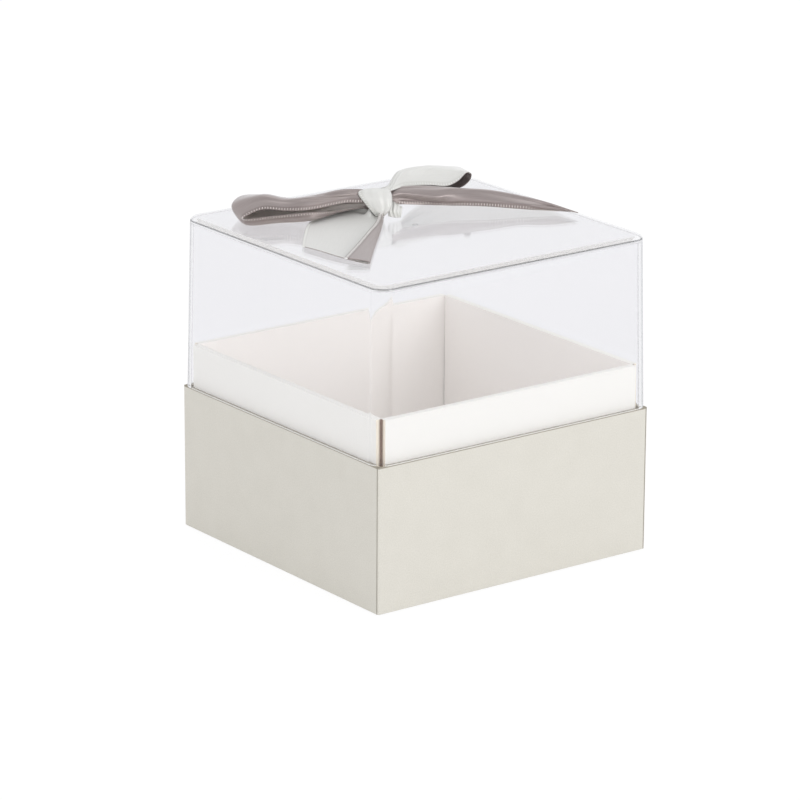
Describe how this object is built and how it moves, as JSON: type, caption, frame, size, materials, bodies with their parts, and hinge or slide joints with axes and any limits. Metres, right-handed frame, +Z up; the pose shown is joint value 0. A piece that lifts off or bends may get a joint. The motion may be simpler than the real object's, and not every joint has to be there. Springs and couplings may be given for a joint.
{
  "type": "flower box with clear lid",
  "caption": "Square gift box: paper-wrapped board base, white board neck, clear moulded lid that lifts off, and a two-tone satin ribbon bow on the lid",
  "frame": {"origin": "middle of the underside, on the plane the box stands on", "axes": "+Z up, the front of the box faces -Y, +X to the right of someone facing the front"},
  "size_m": [0.1212, 0.1212, 0.132],
  "materials": {
    "greyboard": "raw grey bookbinding board",
    "kraft_paper": "brown gummed paper",
    "wrap_paper": "pale grey-beige paper with a fine grain",
    "white_paper": "matt white lining paper",
    "white_board": "white-faced board with a cream core",
    "clear_plastic": "clear moulded polystyrene",
    "satin_taupe": "taupe face of a double-face satin ribbon",
    "satin_pale": "pale silver-grey face of the same ribbon",
    "clear_glue": "clear hot-melt glue"
  },
  "bodies": {
    "base": {"base_tray": "greyboard", "corner_stay_back_right": "kraft_paper", "corner_stay_back_left": "kraft_paper", "corner_stay_front_left": "kraft_paper", "corner_stay_front_right": "kraft_paper", "base_wrap": "wrap_paper", "bottom_sheet": "wrap_paper", "floor_lining": "white_paper", "neck": "white_board", "neck_joint_tape": "kraft_paper"},
    "lid": {"clear_lid": "clear_plastic", "bow_left_loop": "satin_taupe", "bow_right_loop": "satin_pale", "bow_right_tail": "satin_taupe", "bow_front_tail": "satin_pale", "bow_knot_fold": "satin_pale", "bow_knot": "satin_pale", "glue_dot": "clear_glue"}
  },
  "joints": [
    {"name": "lid_lift", "type": "slide", "parent": "base", "child": "lid", "axis": [0, 0, 1], "range_m": [0, 0.1]}
  ]
}
